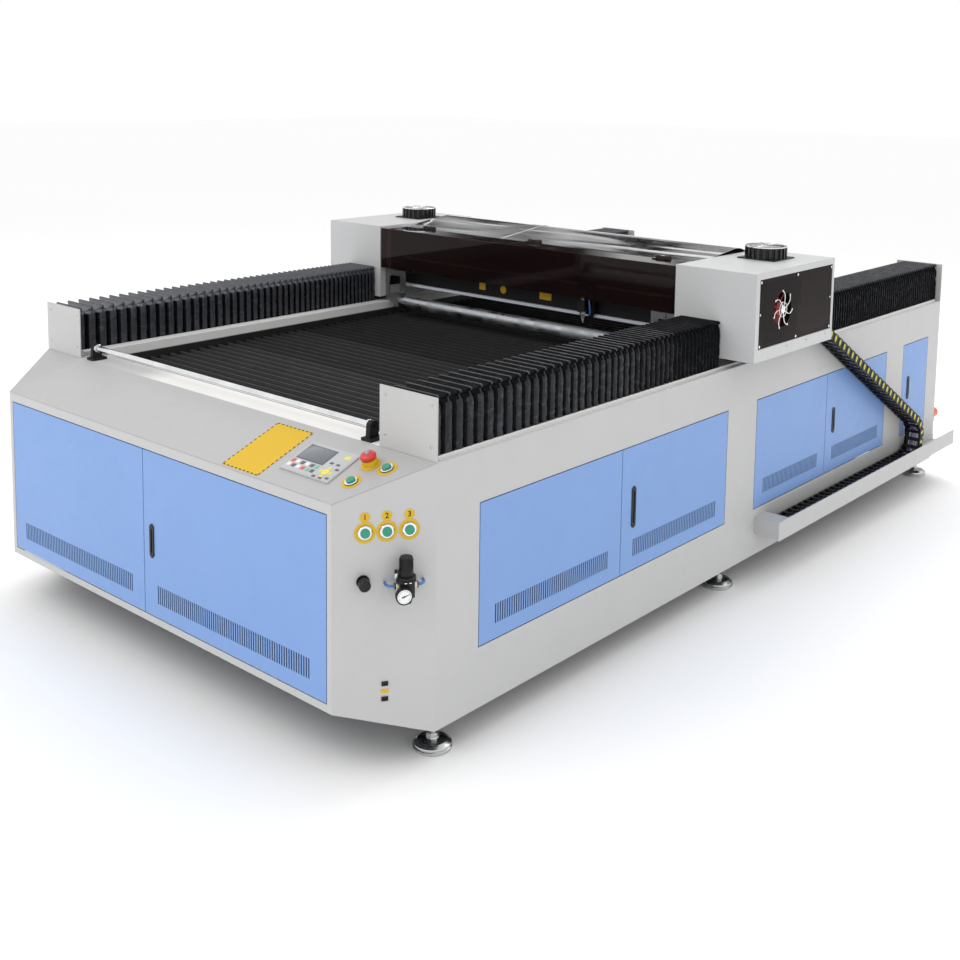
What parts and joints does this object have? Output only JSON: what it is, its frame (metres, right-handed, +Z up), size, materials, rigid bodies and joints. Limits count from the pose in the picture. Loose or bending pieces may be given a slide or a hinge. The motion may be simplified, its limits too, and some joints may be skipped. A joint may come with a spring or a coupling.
{
  "type": "carbon dioxide laser cutting machine",
  "caption": "Flat-bed carbon dioxide laser cutting machine: sheet-metal cabinet with a slatted bed, travelling gantry, pleated way covers, smoked hood and side cable chain.",
  "frame": {"origin": "on the floor under the middle of the bounding box", "axes": "+Z up, the control front faces -Y, +X to the operator's right, long side along Y"},
  "size_m": [2.226, 3.765, 1.2533],
  "materials": {
    "grey_paint": "satin powder coat, light grey",
    "blue_paint": "satin powder coat, light blue",
    "frame_paint": "dark grey paint",
    "black_metal": "matt black",
    "black_plastic": "moulded, black",
    "bellows_cloth": "coated pleated cloth, black",
    "zinc_steel": "zinc plated",
    "chrome": "polished",
    "polished_steel": "mirror polished stainless",
    "rail_steel": "ground",
    "smoked_acrylic": "smoked, dark red",
    "tube_glass": "clear",
    "keypad_film": "printed film, light grey",
    "yellow_plastic": "yellow",
    "green_plastic": "green",
    "red_plastic": "red",
    "fan_red": "red",
    "fan_grey": "dark grey",
    "hose_blue": "blue",
    "dial_white": "white dial, black case",
    "cast_grey": "black die casting"
  },
  "bodies": {
    "cabinet": {"base_frame": "frame_paint", "cabinet_shell": "grey_paint", "control_deck": "grey_paint", "bed_well": "grey_paint", "bed_slats": "black_metal", "slat_combs": "black_metal", "roller_brackets": "black_metal", "y_rails": "rail_steel", "bellows_end_plates": "grey_paint", "bellows_front_left": "bellows_cloth", "bellows_front_right": "bellows_cloth", "bellows_rear_left": "bellows_cloth", "bellows_rear_right": "bellows_cloth", "chain_tray": "grey_paint", "chain_lower_run": "black_plastic", "levelling_feet": "zinc_steel", "keypad": "keypad_film", "button_bezels": "chrome", "button_legends": "yellow_plastic", "panel_fittings": "black_plastic", "air_regulator": "cast_grey", "regulator_gauge": "dial_white", "air_hoses": "hose_blue", "power_inlet": "red_plastic", "chain_side_doors": "blue_paint"},
    "gantry": {"gantry_beam": "black_metal", "x_rail": "rail_steel", "end_boxes": "grey_paint", "gantry_brackets": "grey_paint", "side_windows": "smoked_acrylic", "fan_frames": "black_plastic", "tube_cover": "polished_steel", "laser_tube": "tube_glass", "suction_tube": "zinc_steel", "chain_upper_run": "black_plastic"},
    "front_door_left": {"front_door_left": "blue_paint"},
    "front_door_right": {"front_door_right": "blue_paint"},
    "right_door_1": {"right_door_1": "blue_paint"},
    "right_door_2": {"right_door_2": "blue_paint"},
    "right_door_3": {"right_door_3": "blue_paint"},
    "left_door_1": {"left_door_1": "blue_paint"},
    "left_door_2": {"left_door_2": "blue_paint"},
    "left_door_3": {"left_door_3": "blue_paint"},
    "left_door_4": {"left_door_4": "blue_paint"},
    "left_door_5": {"left_door_5": "blue_paint"},
    "deck_button_left": {"deck_button_left": "green_plastic"},
    "deck_button_right": {"deck_button_right": "green_plastic"},
    "start_button_1": {"start_button_1": "green_plastic"},
    "start_button_2": {"start_button_2": "green_plastic"},
    "start_button_3": {"start_button_3": "green_plastic"},
    "emergency_stop": {"emergency_stop": "red_plastic"},
    "front_roller": {"front_roller": "chrome"},
    "regulator_knob": {"regulator_knob": "black_plastic"},
    "smoked_hood": {"smoked_hood": "smoked_acrylic"},
    "fan_rotor_left": {"fan_rotor_left": "fan_grey"},
    "fan_rotor_right": {"fan_rotor_right": "fan_grey"},
    "fan_rotor_side": {"fan_rotor_side": "fan_red"},
    "laser_carriage": {"laser_carriage": "black_metal"},
    "laser_head": {"laser_head": "zinc_steel"},
    "chain_bend": {"chain_bend": "black_plastic"}
  },
  "joints": [
    {"name": "gantry_slide", "type": "slide", "parent": "cabinet", "child": "gantry", "axis": [0, 1, 0], "range_m": [-1.3, 1.15], "deforming": ["bellows_front_left", "bellows_front_right", "bellows_rear_left", "bellows_rear_right", "chain_lower_run", "chain_upper_run"]},
    {"name": "carriage_slide", "type": "slide", "parent": "gantry", "child": "laser_carriage", "axis": [1, 0, 0], "range_m": [-0.925, 0.275]},
    {"name": "focus_slide", "type": "slide", "parent": "laser_carriage", "child": "laser_head", "axis": [0, 0, 1], "range_m": [-0.015, 0.008]},
    {"name": "hood_hinge", "type": "hinge", "parent": "gantry", "child": "smoked_hood", "pos_m": [0, -0.0355, 1.205], "axis": [-1, 0, 0], "range_deg": [0, 90]},
    {"name": "chain_bend_slide", "type": "slide", "parent": "cabinet", "child": "chain_bend", "axis": [0, 1, 0], "range_m": [-0.53, 0.47]},
    {"name": "front_roller_spin", "type": "hinge", "parent": "cabinet", "child": "front_roller", "pos_m": [0, -1.6165, 0.89], "axis": [1, 0, 0], "continuous": true},
    {"name": "fan_left_spin", "type": "hinge", "parent": "gantry", "child": "fan_rotor_left", "pos_m": [-0.928, 0.2325, 1.217], "axis": [0, 0, 1], "continuous": true},
    {"name": "fan_right_spin", "type": "hinge", "parent": "gantry", "child": "fan_rotor_right", "pos_m": [0.928, 0.2325, 1.217], "axis": [0, 0, 1], "continuous": true},
    {"name": "fan_side_spin", "type": "hinge", "parent": "gantry", "child": "fan_rotor_side", "pos_m": [1.0864, 0.0385, 1.058], "axis": [1, 0, 0], "continuous": true},
    {"name": "regulator_knob_turn", "type": "hinge", "parent": "cabinet", "child": "regulator_knob", "pos_m": [0.97937, -1.73685, 0.559], "axis": [0, 0, 1], "continuous": true},
    {"name": "front_door_left_hinge", "type": "hinge", "parent": "cabinet", "child": "front_door_left", "pos_m": [-0.8175, -1.874, 0.46], "axis": [0, 0, -1], "range_deg": [0, 100]},
    {"name": "front_door_right_hinge", "type": "hinge", "parent": "cabinet", "child": "front_door_right", "pos_m": [0.8175, -1.874, 0.46], "axis": [0, 0, 1], "range_deg": [0, 100]},
    {"name": "right_door_1_hinge", "type": "hinge", "parent": "cabinet", "child": "right_door_1", "pos_m": [0.9945, -1.461, 0.46], "axis": [0, 0, -1], "range_deg": [0, 100]},
    {"name": "left_door_1_hinge", "type": "hinge", "parent": "cabinet", "child": "left_door_1", "pos_m": [-0.9945, -1.461, 0.46], "axis": [0, 0, 1], "range_deg": [0, 100]},
    {"name": "right_door_2_hinge", "type": "hinge", "parent": "cabinet", "child": "right_door_2", "pos_m": [0.9945, -0.135, 0.46], "axis": [0, 0, 1], "range_deg": [0, 100]},
    {"name": "left_door_2_hinge", "type": "hinge", "parent": "cabinet", "child": "left_door_2", "pos_m": [-0.9945, -0.135, 0.46], "axis": [0, 0, -1], "range_deg": [0, 100]},
    {"name": "right_door_3_hinge", "type": "hinge", "parent": "cabinet", "child": "right_door_3", "pos_m": [0.9945, 0.089, 0.46], "axis": [0, 0, -1], "range_deg": [0, 100]},
    {"name": "left_door_3_hinge", "type": "hinge", "parent": "cabinet", "child": "left_door_3", "pos_m": [-0.9945, 0.089, 0.46], "axis": [0, 0, 1], "range_deg": [0, 100]},
    {"name": "left_door_4_hinge", "type": "hinge", "parent": "cabinet", "child": "left_door_4", "pos_m": [-0.9945, 1.227, 0.46], "axis": [0, 0, -1], "range_deg": [0, 100]},
    {"name": "left_door_5_hinge", "type": "hinge", "parent": "cabinet", "child": "left_door_5", "pos_m": [-0.9945, 1.688, 0.46], "axis": [0, 0, -1], "range_deg": [0, 100]},
    {"name": "deck_button_left_press", "type": "slide", "parent": "cabinet", "child": "deck_button_left", "axis": [0, 0.3598, -0.933], "range_m": [0, 0.004], "stiffness_N_per_m": 300, "springref_m": -0.004},
    {"name": "deck_button_right_press", "type": "slide", "parent": "cabinet", "child": "deck_button_right", "axis": [0, 0.3598, -0.933], "range_m": [0, 0.004], "stiffness_N_per_m": 300, "springref_m": -0.004},
    {"name": "start_button_1_press", "type": "slide", "parent": "cabinet", "child": "start_button_1", "axis": [-0.8358, 0.549, 0], "range_m": [0, 0.004], "stiffness_N_per_m": 300, "springref_m": -0.004},
    {"name": "start_button_2_press", "type": "slide", "parent": "cabinet", "child": "start_button_2", "axis": [-0.8358, 0.549, 0], "range_m": [0, 0.004], "stiffness_N_per_m": 300, "springref_m": -0.004},
    {"name": "start_button_3_press", "type": "slide", "parent": "cabinet", "child": "start_button_3", "axis": [-0.8358, 0.549, 0], "range_m": [0, 0.004], "stiffness_N_per_m": 300, "springref_m": -0.004},
    {"name": "emergency_stop_press", "type": "slide", "parent": "cabinet", "child": "emergency_stop", "axis": [0, 0.3598, -0.933], "range_m": [0, 0.004], "stiffness_N_per_m": 300, "springref_m": -0.004}
  ],
  "couplings": [
    {"joint": "chain_bend_slide", "follows": "gantry_slide", "ratio": 0.4}
  ]
}
